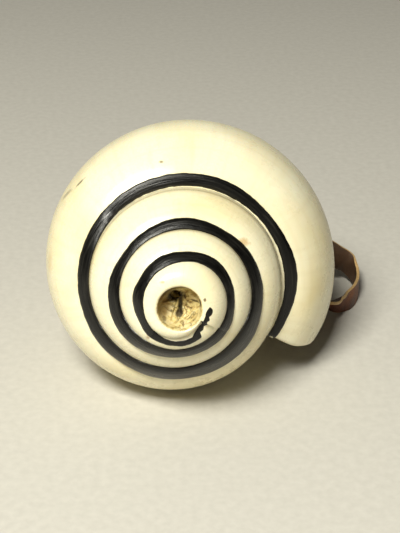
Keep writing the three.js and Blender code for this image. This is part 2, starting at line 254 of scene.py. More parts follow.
for where, (long, short), way, code, strength in MARKS:
    turned = Vector(way).to_track_quat("X", "Z").to_euler()
    near = add(tree, PLACED, {"Vector": own, "Location": Vector(where) / 1000, "Rotation": turned,
                              "Scale": (long / 1000, short / 1000, short / 1000)}, vector_type="TEXTURE")
    far = add(tree, VECTOR, [near], get="Value", operation="LENGTH")
    ragged = add(tree, MATH, [far, add(tree, MATH, [speckle, 0.5], operation="SUBTRACT")], operation="ADD")
    marks.append((add(tree, RANGE, [ragged, 0.35, 1.0, 1.0, 0.0]), code, strength))

# %% Polished shell: the stained cup of the mouth hole, with painted shade in its hollows
flat = add(tree, VECTOR, [upright, (0, -OFF_AXIS / 1000, 0)], operation="SUBTRACT")
flat = add(tree, VECTOR, [flat, (1000, 1000, 0)], operation="MULTIPLY")
radius = add(tree, VECTOR, [flat], get="Value", operation="LENGTH")
height = add(tree, SPLIT_XYZ, [upright], get=2)
in_cup = add(tree, MATH, [add(tree, RANGE, [radius, 6.35, 6.75, 1.0, 0.0]),
                          add(tree, RANGE, [height, 0.0318, 0.0323, 1.0, 0.0])], operation="MULTIPLY")
above = add(tree, MATH, [height, 0.016], operation="GREATER_THAN")
in_cup = add(tree, MATH, [in_cup, above], operation="MULTIPLY")
stain = add(tree, NOISE, {"Vector": upright, "Scale": 260.0, "Detail": 5.0, "Roughness": 0.6,
                          "Distortion": 1.2})
cup_stain_and_shade = add(tree, RAMP, [stain], stops=[(0.32, "#9c7e46"), (0.7, "#f4e9bf"), (0.5, "#decb8c")])
vein = add(tree, NOISE, {"Vector": upright, "Scale": 150.0, "Detail": 4.0, "Distortion": 2.0})
vein = add(tree, MATH, [add(tree, MATH, [vein, 0.5], operation="SUBTRACT")], operation="ABSOLUTE")
vein = add(tree, RANGE, [vein, 0.0, 0.018, 1.0, 0.0])
# brown stains and painted shade: the first four darken the upper and left walls as shade, the next three paint
# dark cores into the passage, the crevice and the second pit, and the last five are small dark marks in creases
# and spots
CUP_STAINS_AND_SHADE = [  # place in the upright shell, half lengths, colour, strength
    ((-3.6, 3.4, 28.5), (4.6, 3.8, 4.8), "#4a340f", 0.85), ((0.5, 5.6, 29.5), (3.2, 2.4, 3.5), "#2a1d08", 0.8),
    ((-4.6, -1.2, 27.5), (3, 3.6, 5), "#7d5e2e", 0.7), ((3.6, 4, 28.5), (2.6, 2.4, 4), "#a88a36", 0.6),
    ((-1, 1.4, 24.6), (2.9, 2, 2.4), "#1c1108", 0.95), ((0.4, -1.6, 24), (0.75, 3, 2.4), "#21150a", 0.9),
    ((0, -3.9, 24), (1.4, 1.3, 2), "#37281a", 0.85), ((4.2, 0.2, 26.6), (2.2, 0.4, 2), "#3b2810", 0.8),
    ((5.9, 1.6, 30), (0.5, 2.2, 1.6), "#2a1d0c", 0.8), ((-2.2, -2.9, 25), (0.6, 0.6, 1), "#2c1c0c", 0.85),
    ((-4.3, -4.2, 28.5), (1, 0.8, 1.4), "#4c3413", 0.6), ((1.1, -5.7, 28.5), (0.4, 1.4, 2.2), "#6b4a1c", 0.7)]
stain_and_shade_spots = []
for where, half, code, strength in CUP_STAINS_AND_SHADE:
    near = add(tree, PLACED, {"Vector": upright, "Location": Vector(where) / 1000,
                              "Scale": Vector(half) / 1000}, vector_type="TEXTURE")
    far = add(tree, VECTOR, [near], get="Value", operation="LENGTH")
    ragged = add(tree, MATH, [far, stain], operation="ADD")
    stain_and_shade_spots.append((add(tree, RANGE, [ragged, 1.15, 1.6, 1.0, 0.0]), code, strength))
# veins, brown stains and painted shade over the cup's stained colour
cup_stain_and_shade = paint(tree, cup_stain_and_shade, [(vein, "#5a3c18", 0.3), *stain_and_shade_spots])

# %% Polished shell: put together
# over the ivory: growth lines, soot with painted shade by the seam, painted olive shade, the step's painted
# shade line, the inside colour and the marks
shade = paint(tree, ivory, [(lines, "#cdbb8a", 0.22), (ring_lines, "#d8c898", 0.2), (seam_soot_and_shade, "#8d7c50", 0.45),
                            (shadow, "#a8935a", 0.45), (step, "#9a8a5a", 0.5),
                            (inside, "#e9cfa6", 0.6), *marks])
shade = add(tree, MIX, {0: in_cup, 6: shade, 7: cup_stain_and_shade}, get=2, data_type="RGBA")
tree.links.new(shade, surface["Base Color"])
rub = add(tree, NOISE, {"Vector": upright, "Scale": 150.0, "Detail": 5.0, "Roughness": 0.65})
gloss = add(tree, RANGE, [rub, 0.3, 0.7, 0.25, 0.31])
gloss = add(tree, MIX, {0: in_cup, 2: gloss, 3: 0.55})
tree.links.new(gloss, surface["Roughness"])
surface["IOR"].default_value = 1.53
surface["Subsurface Weight"].default_value = 0.12
surface["Subsurface Radius"].default_value = (1.0, 0.7, 0.4)
surface["Subsurface Scale"].default_value = 0.003
wave = add(tree, NOISE, {"Vector": upright, "Scale": 60.0, "Detail": 1.0})
relief = 0.0
for height_of, size in ((wave, 0.00004), (growth, 0.000015), (step, -0.00006), (rub, 0.000003),
                        (seam_soot_and_shade, -0.00003)):
    relief = add(tree, MATH, [height_of, size, relief], operation="MULTIPLY_ADD")
rough_cup = add(tree, MATH, [stain, vein], operation="SUBTRACT")
rough_cup = add(tree, MATH, [rough_cup, in_cup], operation="MULTIPLY")
relief = add(tree, MATH, [rough_cup, 0.0004, relief], operation="MULTIPLY_ADD")
tree.links.new(add(tree, BUMP, {"Height": relief, "Distance": 1.0, "Strength": 1.0}), surface["Normal"])
print("shell material:", len(tree.nodes), "nodes")

# %% [markdown]
# ## Hand-laid lac
# Black lac is a resin, pressed in warm and smoothed along the seam. It gives the eye a glossy black
# with grey streaks that run with the seam, where the tool dragged it. The streaks are about half a
# millimetre wide and a centimetre long, so they are stretched along the bead by its own numbers.

# %% Black lac
lac_stuff, tree, surface, own = new_material("black_lac")
along, edge, face = (add(tree, ATTRIBUTE, get="Fac", attribute_name=label)
                     for label in ("along", "edge", "face"))
drag = add(tree, JOIN_XYZ, [add(tree, MATH, [along, 60.0], operation="MULTIPLY"),
                            add(tree, MATH, [edge, 3.2], operation="MULTIPLY"), face])
streak = add(tree, NOISE, {"Vector": drag, "Scale": 1.0, "Detail": 5.0, "Roughness": 0.6, "Distortion": 0.3})
pits = add(tree, NOISE, {"Vector": own, "Scale": 1400.0, "Detail": 2.0})
black = add(tree, RAMP, [streak], stops=[(0.35, "#040403"), (0.72, "#23221d"), (0.52, "#090806")])
rim = add(tree, RANGE, [add(tree, MATH, [edge], operation="ABSOLUTE"), 0.86, 1.0, 0.0, 1.0])
tree.links.new(paint(tree, black, [(rim, "#2b2413", 0.5)]), surface["Base Color"])
tree.links.new(add(tree, RANGE, [streak, 0.35, 0.7, 0.26, 0.46]), surface["Roughness"])
surface["IOR"].default_value = 1.44
relief = add(tree, MATH, [streak, 0.00016, add(tree, MATH, [pits, 0.00003], operation="MULTIPLY")],
             operation="MULTIPLY_ADD")
tree.links.new(add(tree, BUMP, {"Height": relief, "Distance": 1.0, "Strength": 1.0}), surface["Normal"])
print("lac material:", len(tree.nodes), "nodes")

# %% [markdown]
# ## Brown leather
# The loop is vegetable-tanned leather: a smooth reddish brown face with fine pebbled grain, a paler
# rough back, and light cut edges where the knife opened the fibres. The edges and the two faces are
# told apart by the numbers that the bead tree stores.

# %% Brown leather
leather_stuff, tree, surface, own = new_material("brown_leather")
edge, face = (add(tree, ATTRIBUTE, get="Fac", attribute_name=label) for label in ("edge", "face"))
worn = add(tree, NOISE, {"Vector": own, "Scale": 160.0, "Detail": 5.0, "Roughness": 0.6})
brown = add(tree, RAMP, [worn], stops=[(0.3, "#3a1c0c"), (0.7, "#8a5226"), (0.5, "#643417")])
grain = add(tree, "ShaderNodeTexVoronoi", {"Vector": own, "Scale": 1500.0}, feature="DISTANCE_TO_EDGE")
fibre = add(tree, NOISE, {"Vector": own, "Scale": 2200.0, "Detail": 3.0})
back = add(tree, RANGE, [face, -0.3, -0.6, 0.0, 1.0])
cut = add(tree, RANGE, [add(tree, MATH, [edge], operation="ABSOLUTE"), 0.955, 0.985, 0.0, 1.0])
rubbed = add(tree, MATH, [cut, add(tree, RANGE, [fibre, 0.3, 0.7, 0.6, 1.0])], operation="MULTIPLY")
shade = paint(tree, brown, [(back, "#493828", 0.85), (rubbed, "#dcb97f", 0.9)])
tree.links.new(shade, surface["Base Color"])
tree.links.new(add(tree, RANGE, [worn, 0.3, 0.7, 0.42, 0.62]), surface["Roughness"])
pores = add(tree, RANGE, [grain, 0.0, 0.25, 0.0, 1.0])
relief = add(tree, MATH, [pores, 0.00005, add(tree, MATH, [worn, 0.00025], operation="MULTIPLY")],
             operation="MULTIPLY_ADD")
frayed = add(tree, MATH, [fibre, cut], operation="MULTIPLY")
relief = add(tree, MATH, [frayed, 0.0001, relief], operation="MULTIPLY_ADD")
tree.links.new(add(tree, BUMP, {"Height": relief, "Distance": 1.0, "Strength": 1.0}), surface["Normal"])
print("leather material:", len(tree.nodes), "nodes")

# %% Pale floor
floor_stuff, tree, surface, own = new_material("pale_card")
fibres = add(tree, NOISE, {"Vector": own, "Scale": 400.0, "Detail": 3.0})
tree.links.new(add(tree, RAMP, [fibres], stops=[(0.3, "#c3c0b8"), (0.7, "#cbc8c0")]), surface["Base Color"])
surface["Roughness"].default_value = 0.75

# %% [markdown]
# ## How a tree is run
# A tree gets a line of points with arrows on them as its input. Its named inputs are set before it
# runs, what comes out is turned into a plain mesh, and the modifier goes. The ends of the lac come
# out open, and are filled. A count of the open edges is then printed, which must be none.


# %% Make a tree, run it, and close what it made
def new_tree(name, inputs):
    tree = bpy.data.node_groups.new(name, "GeometryNodeTree")
    tree.interface.new_socket("Geometry", in_out="OUTPUT", socket_type="NodeSocketGeometry")
    for label, kind in [("Line", "Geometry"), *inputs]:
        tree.interface.new_socket(label, in_out="INPUT", socket_type="NodeSocket" + kind)
    return tree, tree.nodes.new("NodeGroupInput").outputs, tree.nodes.new("NodeGroupOutput").inputs[0]


def grow(name, points, tree, values, arrows=()):
    line = bpy.data.meshes.new(name + "_line")
    line.from_pydata([tuple(p) for p in points], [(i, i + 1) for i in range(len(points) - 1)], [])
    for label, data in dict(arrows).items():
        layer = line.attributes.new(label, "FLOAT_VECTOR", "POINT")
        layer.data.foreach_set("vector", np.asarray(data, np.float32).ravel())
    thing = bpy.data.objects.new(name, line)
    bpy.context.scene.collection.objects.link(thing)
    modifier = thing.modifiers.new("grow", "NODES")
    modifier.node_group = tree
    for item in tree.interface.items_tree:
        if item.in_out == "INPUT" and item.name in values:
            modifier[item.identifier] = values[item.name]
    evaluated = thing.evaluated_get(bpy.context.evaluated_depsgraph_get())
    grown = bpy.data.meshes.new_from_object(evaluated)
    thing.modifiers.remove(modifier)
    thing.data = grown
    face_outwards(thing)
    return thing


def face_outwards(thing):
    work = bmesh.new()
    work.from_mesh(thing.data)
    bmesh.ops.dissolve_degenerate(work, dist=1e-7, edges=work.edges)
    bmesh.ops.holes_fill(work, edges=[e for e in work.edges if e.is_boundary])
    bmesh.ops.recalc_face_normals(work, faces=work.faces)
    open_edges = sum(not e.is_manifold for e in work.edges)
    print(thing.name, len(work.verts), "points,", open_edges, "open edges,",
          round(work.calc_volume(signed=True) * 1e6, 1), "ml")
    work.to_mesh(thing.data)
    work.free()


# %% [markdown]
# ## The whorls, by Geometry Nodes
# The real shell is one continuous sheet, so we don't model whorl by whorl. A tree of nodes takes the
# spiral line and stretches a fine grid between each turn of the line and the turn before it, in a
# quarter of an ellipse, as a whorl bulges from its seam. Below the last turn a second grid narrows
# along a soft curve to the canal, and a third closes the ground tip. Two rings of triangles close
# the ends on the axis, and two small faces close the lip and the seam's inner end. A hand-modelled
# mesh could look the same, but only the rule keeps every whorl a true smaller copy of the next.

# %% Sections of the whorl tree
whorls, given, whorls_out = new_tree("whorls from a spiral line", [
    ("Rows in a turn", "Int"), ("Columns across", "Int"), ("Columns down", "Int"),
    ("Columns at the tip", "Int"),
    ("Hole radius", "Float"), ("Hole height", "Float"), ("Neck radius", "Float"),
    ("Canal radius", "Float"), ("Canal end", "Float"), ("Material", "Material")])
line, rows, columns_across, columns_down, columns_tip = given[:5]
hole_radius, hole_height, neck_radius, canal_radius, canal_end = given[5:10]


def on_line(tree, path, index, label=None):
    """Where the point with this index lies, or the arrow of that name on it."""
    what = (add(tree, "GeometryNodeInputNamedAttribute", {"Name": label}, data_type="FLOAT_VECTOR") if label
            else add(tree, "GeometryNodeInputPosition"))
    return add(tree, "GeometryNodeSampleIndex", {"Geometry": path, "Value": what, "Index": index},
               data_type="FLOAT_VECTOR")


def from_axis(point, radius):
    """The point's own direction out from the axis, at the given radius; with no radius, just the point with its
    height taken away.
    """
    flat = add(whorls, VECTOR, [point, (1, 1, 0)], operation="MULTIPLY")
    if radius is None:
        return flat
    way = add(whorls, VECTOR, [flat], operation="NORMALIZE")
    return add(whorls, VECTOR, {0: way, "Scale": radius}, operation="SCALE")


def raised(flat, height):
    return add(whorls, VECTOR, [flat, add(whorls, JOIN_XYZ, [0.0, 0.0, height])])


def bulge(inner, outer, t):
    """A quarter of an ellipse: level where it leaves the inner line, upright at the outer one."""
    angle = add(whorls, MATH, [t, math.pi / 2], operation="MULTIPLY")
    reach = add(whorls, MATH, [angle], operation="SINE")
    drop = add(whorls, MATH, [1.0, add(whorls, MATH, [angle], operation="COSINE")], operation="SUBTRACT")
    share = add(whorls, JOIN_XYZ, [reach, reach, drop])
    return add(whorls, MIX, {1: share, 4: inner, 5: outer}, get=1, data_type="VECTOR",
               factor_mode="NON_UNIFORM")


def flank(top, t):
    """The side below the widest place: a curve with four handles down to the canal."""
    height = add(whorls, SPLIT_XYZ, [top], get=2)
    hold = [top]
    for radius, share in ((None, 0.3), (neck_radius, 0.45), (canal_radius, 1.0)):
        level = add(whorls, MIX, {0: share, 2: height, 3: canal_end})
        hold.append(raised(from_axis(top, radius), level))
    while len(hold) > 1:
        hold = [add(whorls, MIX, {0: t, 4: a, 5: b}, get=1, data_type="VECTOR") for a, b in zip(hold, hold[1:])]
    return hold[0]


# %% Where each sheet's points lie, by row and column
def turns(count, row=0):
    return add(whorls, WHOLE, [rows, count, row], operation="MULTIPLY_ADD")


def whorl_top(row, column):
    return bulge(on_line(whorls, line, turns(1, row)), on_line(whorls, line, row),
                 add(whorls, MATH, [column, columns_across], operation="DIVIDE"))


def side(row, column):
    return flank(on_line(whorls, line, row), add(whorls, MATH, [column, columns_down], operation="DIVIDE"))


def tip_face(row, column):
    outer = on_line(whorls, line, turns(3, row))
    return bulge(raised(from_axis(outer, hole_radius), hole_height), outer,
                 add(whorls, MATH, [column, columns_tip], operation="DIVIDE"))


def to_axis(ring):
    """Closes an end: column 0 is the ring, column 1 lies on the axis."""
    def shape(row, column):
        edge = ring(row)
        middle = add(whorls, VECTOR, [edge, (0, 0, 1)], operation="MULTIPLY")
        return add(whorls, MIX, {0: column, 4: edge, 5: middle}, get=1, data_type="VECTOR")
    return shape


def face_between(first, parts):
    """From the older line to the newer one; each has two parts, and the second starts after `first`."""
    def shape(row, column):
        past = add(whorls, WHOLE, [column, first], operation="SUBTRACT")
        over = add(whorls, "FunctionNodeCompare", {2: column, 3: first}, data_type="INT",
                   operation="GREATER_THAN")
        ends = [add(whorls, "GeometryNodeSwitch", [over, one(column), two(past)], input_type="VECTOR")
                for one, two in parts]
        return add(whorls, MIX, {0: row, 4: ends[0], 5: ends[1]}, get=1, data_type="VECTOR")
    return shape


lip_face = face_between(columns_across, [
    (lambda c: on_line(whorls, line, turns(1)), lambda c: side(turns(1), c)),
    (lambda c: whorl_top(0, c), lambda c: side(0, c))])
seam_end = face_between(columns_tip, [
    (lambda c: tip_face(rows, c), lambda c: whorl_top(turns(3), c)),
    (lambda c: tip_face(0, c), lambda c: on_line(whorls, line, turns(3)))])

# %% Put the sheets together
together = whorls.nodes.new("GeometryNodeJoinGeometry")
both = [add(whorls, WHOLE, [v, columns_across], operation="ADD") for v in (columns_down, columns_tip)]
for row_count, column_count, shape in (
        (turns(3), columns_across, whorl_top), (rows, columns_down, side), (rows, columns_tip, tip_face),
        (rows, 1, to_axis(lambda row: side(row, columns_down))),
        (rows, 1, to_axis(lambda row: tip_face(row, 0))),
        (1, both[0], lip_face), (1, both[1], seam_end)):
    size = [add(whorls, WHOLE, [v, 1], operation="ADD") for v in (row_count, column_count)]
    index = add(whorls, "GeometryNodeInputIndex")
    row, column = (add(whorls, WHOLE, [index, size[1]], operation=o) for o in ("DIVIDE_FLOOR", "MODULO"))
    sheet = add(whorls, "GeometryNodeMeshGrid", {"Vertices X": size[0], "Vertices Y": size[1]})
    sheet = add(whorls, "GeometryNodeSetPosition", {"Geometry": sheet, "Position": shape(row, column)})
    whorls.links.new(sheet, together.inputs[0])
flow = add(whorls, "GeometryNodeMergeByDistance", {"Geometry": together.outputs[0], "Distance": 2e-6})
flow = add(whorls, "GeometryNodeRealizeInstances", {"Geometry": flow})
flow = add(whorls, "GeometryNodeSetMaterial", {"Geometry": flow, "Material": given["Material"]})
whorls.links.new(flow, whorls_out)
print("whorl tree:", len(whorls.nodes), "nodes")

# %% Grow the whorls
ROWS, ACROSS, DOWN, TIP = 288, 18, 56, 16
places = LIP - 1 + np.arange(4 * ROWS + 1) / ROWS
radius, height = (np.where(places < LIP, w, c) for w, c in zip(widest(places + 1), corner(places)))
shell = grow("shell_skin", place(radius, height, places), whorls, {
    "Rows in a turn": ROWS, "Columns across": ACROSS, "Columns down": DOWN, "Columns at the tip": TIP,
    "Hole radius": (HOLE_RADIUS + 0.6) / 1000, "Hole height": HOLE_TOP / 1000,
    "Neck radius": NECK_RADIUS / 1000, "Canal radius": CANAL_RADIUS / 1000, "Canal end": CANAL_END / 1000,
    "Material": shell_stuff})

# %% [markdown]
# ## The hollow, the mouth hole and the lip
# A whole shell is a winding tube, and this one was ground, drilled and polished by hand. So the
# hollow and the workman's cuts are made as closed bodies of their own and taken away from the skin,
# as the tools took the shell away. The body that trims the lip is rounded towards the shell, which
# leaves the lip with the soft edge of a polished one.


# %% The skin as numbers
def upper(n, t):
    (cr, ch), (wr, wh) = corner(n), widest(n)
    a = t * math.pi / 2
    return mix(cr, wr, np.sin(a)), mix(wh, ch, np.cos(a))


def lower(n, t, neck=NECK_RADIUS, end=CANAL_RADIUS):
    radius, height = widest(n)
    fall = height - CANAL_END
    hold = [(radius, height), (radius, height - 0.3 * fall), (neck, height - 0.45 * fall), (end, CANAL_END)]
    share = [(1 - t) ** 3, 3 * (1 - t) ** 2 * t, 3 * (1 - t) * t * t, t**3]
    return tuple(sum(w * h[k] for w, h in zip(share, hold)) for k in (0, 1))


def skin(n, s):
    """s runs from the seam (0) over the widest place (0.4) to the canal (1)."""
    s = np.asarray(s, float)
    top, foot = upper(n, np.minimum(s / 0.4, 1)), lower(n, np.maximum((s - 0.4) / 0.6, 0))
    return tuple(np.where(s < 0.4, a, b) for a, b in zip(top, foot))


def wall(s):
    thick = mix(WALL + 0.8, WALL, np.clip(np.asarray(s) / 0.3, 0, 1))
    return mix(thick, 2.6, smooth((np.asarray(s) - 0.6) / 0.35))


def inset(n, s, by):
    (ar, ah), (br, bh) = skin(n, np.maximum(s - 0.01, 0)), skin(n, np.minimum(s + 0.01, 1))
    dr, dh = br - ar, bh - ah
    long = np.hypot(dr, dh)
    r, h = skin(n, s)
    return r + by * dh / long, h - by * dr / long


def pillar(n, s):
    """The older flank, round which the hollow winds."""
    return lower(n + 1, mix(0.03, 1, s**1.2), mix(NECK_RADIUS, 10, smooth((n - LIP) / 0.2)), 3.2)


def body(name, rings, closed=False):
    """A closed body through rings of points, all of one length."""
    rings = np.asarray(rings)
    count, size = rings.shape[:2]
    faces = [((i % count) * size + j, ((i + 1) % count) * size + j,
              ((i + 1) % count) * size + (j + 1) % size, (i % count) * size + (j + 1) % size)
             for i in range(count - (0 if closed else 1)) for j in range(size)]
    points = rings.reshape(-1, 3)
    if not closed:
        for i, k in ((0, 0), (count - 1, 1)):
            points = np.vstack([points, rings[i].mean(0)])
            faces += [(len(points) - 1, i * size + j, i * size + (j + 1) % size) for j in range(size)]
    mesh = bpy.data.meshes.new(name)
    mesh.from_pydata([tuple(p) for p in points], [], faces)
    thing = bpy.data.objects.new(name, mesh)
    bpy.context.scene.collection.objects.link(thing)
    face_outwards(thing)
    return thing


# %% The hollow under the last whorl
depth = np.linspace(0.1, 1, 44)
rings = []
for n in np.arange(LIP - 0.02, LIP + CAVITY_TURNS + 0.0001, 1 / 150):
    near_r, near_h = pillar(n, depth)
    far_r, far_h = inset(n, depth, wall(depth))
    r = np.concatenate([near_r, [3.2], [CANAL_RADIUS - 2.6], far_r[::-1]])
    h = np.concatenate([near_h, [CANAL_END - 4], [CANAL_END - 4], far_h[::-1]])
    rings.append(place(r, h, n))
hollow = body("hollow", rings)


# %% The passage up to the mouth hole, and the folds on the pillar
def tube(name, n, radius, height, thick, sides=20):
    middle = place(radius, height, n)
    along = np.gradient(middle, axis=0)
    along /= np.linalg.norm(along, axis=1)[:, None]
    out = place(np.ones_like(n), 0 * n, n)
    side = np.cross(along, out)
    side /= np.linalg.norm(side, axis=1)[:, None]
    out = np.cross(side, along)
    a = np.linspace(0, TURN, sides, endpoint=False)
    ring = out[:, None] * np.cos(a)[None, :, None] + side[:, None] * np.sin(a)[None, :, None]
    return body(name, middle[:, None] + ring * (thick / 1000)[:, None, None])


n = np.linspace(LIP + 0.75, PASSAGE_END, 150)
(cr, ch), (wr, wh) = corner(n), widest(n)
home = smooth((n - 2.4) / 0.85)
rise = 40 * np.minimum(0.14, PASSAGE_END - n)  # steep at the end, to open in the cup's floor
end_height = HOLE_TOP - CUP_DEPTH + 1.4 - rise
passage = tube("passage", n, mix(mix(cr, wr, 0.5), 2, home), mix(mix(wh, ch, 0.2), end_height, home),
               mix(0.3 * (wr - cr), 1.5, home))
folds = []
for level in FOLD_LEVELS:
    n = np.linspace(LIP - 0.012, LIP + 0.5, 60)
    t = (n - n[0]) / 0.512
    r, h = (np.array([pillar(k, level)[i] for k in n]) for i in (0, 1))
    folds.append(tube("fold", n, r, h, FOLD_RADIUS * (0.25 + 0.75 * smooth(t * 8) * smooth((1 - t) * 5)), 14))

# %% The cup of the mouth hole, ground with a round tool
cup_line = [(0, 34), (8.6, 34), (7.6, 32.9), (6.75, 32.42), (6.35, 32.1), (6.12, 31.6), (6, 30.8), (5.8, 29.4),
            (5.45, 27.9), (4.9, 26.6), (4.1, 25.5), (3, 24.6), (1.6, 24.1), (0, 23.9)]
cut_r, cut_h = (np.interp(np.linspace(0, 13, 53), range(14), [p[k] for p in cup_line]) for k in (0, 1))
cup_rings = []
for n in np.arange(96) / 96:
    ring = place(cut_r[1:-1], cut_h[1:-1], n)
    rough = np.array([noise.noise(Vector(p) * 420) for p in ring]) * np.clip((31 - cut_h[1:-1]) / 3, 0, 1)
    x, y = ring[:, 0] * 1000, ring[:, 1] * 1000
    crevice = 1.1 * np.exp(-((x - 0.5 - 0.15 * y) / 0.45) ** 2 - ((y + 1.6) / 2.4) ** 4)
    second_pit = 1.2 * np.exp(-(x**2 + (y + 3.8) ** 2) / 0.9)
    ledge = 0.9 * smooth((-x - 0.6 + 0.3 * y) / 0.5) * smooth((0.8 - y) / 0.5)
    pits = crevice + second_pit - ledge
    low = np.clip((29 - cut_h[1:-1]) / 4, 0, 1)
    cup_rings.append(ring * (1 + 0.07 * rough[:, None] * np.array([1, 1, 0]))
                     - [0, OFF_AXIS / 1000, 0] + (0.0005 * rough - 0.001 * pits * low)[:, None] * [0, 0, 1])
cup = body("cup", np.swapaxes(cup_rings, 0, 1))

# %% What trims the lip, opens the canal and drills the hole for the strap
LIP_EDGE = [(0.15, 0), (0.25, 0.005), (0.31, 0.03), (0.4, 0.048), (0.55, 0.055), (0.8, 0.03), (1, 0)]
rings = []
q = np.linspace(0, math.pi, 15)
for s in np.linspace(0.03, 1, 70):
    back, thick = LIP + knots(LIP_EDGE, s) + 0.0005, float(wall(s))
    here = float(skin(LIP, s)[0])
    soft = 0.45 * thick * min(1, 0.45 + 4 * s) / (TURN * here)
    inner = np.where(np.cos(q) < 0, smooth((s - 0.1) / 0.1), 1)
    points = [(-7, LIP - 0.03), (-7, back + soft), (-0.3, back + soft)]
    rounded = back + soft * inner * (1 - np.sin(q)) - (1 - inner) * 0.001
    points += list(zip(thick / 2 * (1 - np.cos(q)), rounded))
    points += [(thick + 2, points[-1][1]), (thick + 2, LIP - 0.03)]
    rings.append([place(*inset(k, s, by), k) for by, k in points])
trim = body("lip_trim", rings)
rings = []
down_canal = np.linspace(0.78, 1, 14)
for n in np.arange(LIP - 0.06, LIP + 0.0201, 0.004):
    near, far = pillar(n, down_canal), inset(n, down_canal, -6)
    r = np.concatenate([near[0], [3.2, CANAL_RADIUS + 6], far[0][::-1]])
    h = np.concatenate([near[1], [CANAL_END - 4] * 2, far[1][::-1]])
    rings.append(place(r, h, n))
slot = body("canal_slot", rings)

drill_at, drill_way = Vector((37.2, 53.2, 23)), Vector((0.78, 0.62, 0)).normalized()
up_way = Vector((0, 0, 1))
side_way = drill_way.cross(up_way)
rings = [[(drill_at + Vector(SHIFT) + drill_way * step
           + (side_way * math.cos(a) + up_way * math.sin(a)) * STRAP_HOLE_RADIUS) / 1000
          for a in np.arange(40) / 40 * TURN] for step in (-8, 8)]
drill = body("drill", rings)
drill.data.transform(lay_down.inverted())

# %% Take them away from the skin
for tool, way in ((hollow, "DIFFERENCE"), (passage, "DIFFERENCE"), *((f, "UNION") for f in folds),
                  (trim, "DIFFERENCE"), (slot, "DIFFERENCE"), (drill, "DIFFERENCE"), (cup, "DIFFERENCE")):
    tool.data.materials.append(shell_stuff)
    cut = shell.modifiers.new("cut", "BOOLEAN")
    cut.object, cut.operation, cut.solver = tool, way, "MANIFOLD"
    made = bpy.data.meshes.new_from_object(shell.evaluated_get(bpy.context.evaluated_depsgraph_get()))
    shell.modifiers.remove(cut)
    shell.data = made
    bpy.data.objects.remove(tool)
face_outwards(shell)
print("shell", len(shell.data.polygons), "faces")

# %% [markdown]
# The finish of the shell follows its growth, so each point of the mesh keeps where it is in the
# rule: how many turns back from the lip, how far across its whorl, and whether it belongs to the
# hollow. The materials read these three. The shell is then laid down.

# %% Give the points their place in the growth
co = np.array([v.co for v in shell.data.vertices]) * 1000
r, z = np.hypot(co[:, 0], co[:, 1]), co[:, 2]
first = LIP + ((np.arctan2(co[:, 1], co[:, 0]) - LIP_ANGLE) / TURN - LIP) % 1
turn, across_whorl = first.copy(), np.full(len(r), 0.5)
for k in (2, 1, 0):
    (cr, ch), (wr, wh) = corner(first + k), widest(first + k)
    here = (r >= cr - 0.05) & (z >= wh) if k else r >= cr - 0.05
    share = np.arcsin(np.clip((r - cr) / np.maximum(wr - cr, 0.1), 0, 1)) / (math.pi / 2)
    turn[here] = (first + k)[here]
    across_whorl[here] = share[here]
    below = (z < wh) if k == 0 else np.zeros(len(r), bool)
    turn[below], across_whorl[below] = first[below], (1 + (wh - z) / (wh - CANAL_END))[below]
down = np.linspace(0, 1, 60)
flanks = [lower(n, down) for n in LIP + np.arange(361) / 360]
skin_r = np.array([np.interp(-h, -flanks[k][1], flanks[k][0])
                   for k, h in zip(np.round((first - LIP) * 360).astype(int), z)])
inside = ((z < widest(first)[1]) & (r < skin_r - 1.5)).astype(float)
for label, data in (("turn", turn), ("across", across_whorl), ("inside", inside)):
    shell.data.attributes.new(label, "FLOAT", "POINT").data.foreach_set("value", data.astype(np.float32))
skin_search = BVHTree.FromPolygons([v.co for v in shell.data.vertices],
                                   [p.vertices for p in shell.data.polygons])
shell.data.transform(lay_down)
shell.data.polygons.foreach_set("use_smooth", [True] * len(shell.data.polygons))
shell.data.set_sharp_from_angle(angle=math.radians(42))
print("inside share", round(float(inside.mean()), 2))

# %% [markdown]
# ## A bead along a line, by Geometry Nodes
# The lac was pressed into the corner of the seam by hand, and the carrying loop is one long strip of
# leather. Both are a section carried along a line, so one tree makes both. Each point of the line
# holds three arrows: half the width, the rise of the outer face, and the depth of the inner one. The
# squareness turns the section from a lens, for the lac, to a strip with rounded edges. Noise with a
# fixed seed pulls the edges of the section in and out, as a hand does.

# %% The bead tree
bead, given, bead_out = new_tree("bead along a line", [
    ("Points around", "Int"), ("Squareness", "Float"), ("Uneven edge", "Float"), ("Lump length", "Float"),
    ("Seed", "Float"), ("Material", "Material")])
line, around, square, uneven, lump, seed = given[:6]
length = add(bead, "GeometryNodeAttributeDomainSize", {"Geometry": line}, component="MESH")
columns = add(bead, WHOLE, [around, 1], operation="ADD")
index = add(bead, "GeometryNodeInputIndex")
row, column = (add(bead, WHOLE, [index, columns], operation=o) for o in ("DIVIDE_FLOOR", "MODULO"))
# the last column starts again at 0: the sine of a whole turn is not quite nothing, and would leave a slit
round_again = add(bead, WHOLE, [column, around], operation="MODULO")
share = add(bead, MATH, [round_again, around], operation="DIVIDE")
angle = add(bead, MATH, [share, TURN], operation="MULTIPLY")
section = []
for wave in ("COSINE", "SINE"):
    plain = add(bead, MATH, [angle], operation=wave)
    size = add(bead, MATH, [add(bead, MATH, [plain], operation="ABSOLUTE"), square], operation="POWER")
    section += [add(bead, MATH, [size, add(bead, MATH, [plain], operation="SIGN")], operation="MULTIPLY"), size]
wide, _, thick, height = section
half, out, into = (on_line(bead, line, row, label) for label in ("half_width", "out", "into"))
upper_side = add(bead, "FunctionNodeCompare", [thick, 0.0], operation="GREATER_THAN")
face = add(bead, "GeometryNodeSwitch", [upper_side, into, out], input_type="VECTOR")
point = on_line(bead, line, row)
for arrow, size in ((half, wide), (face, height)):
    point = add(bead, VECTOR, [point, add(bead, VECTOR, {0: arrow, "Scale": size}, operation="SCALE")])

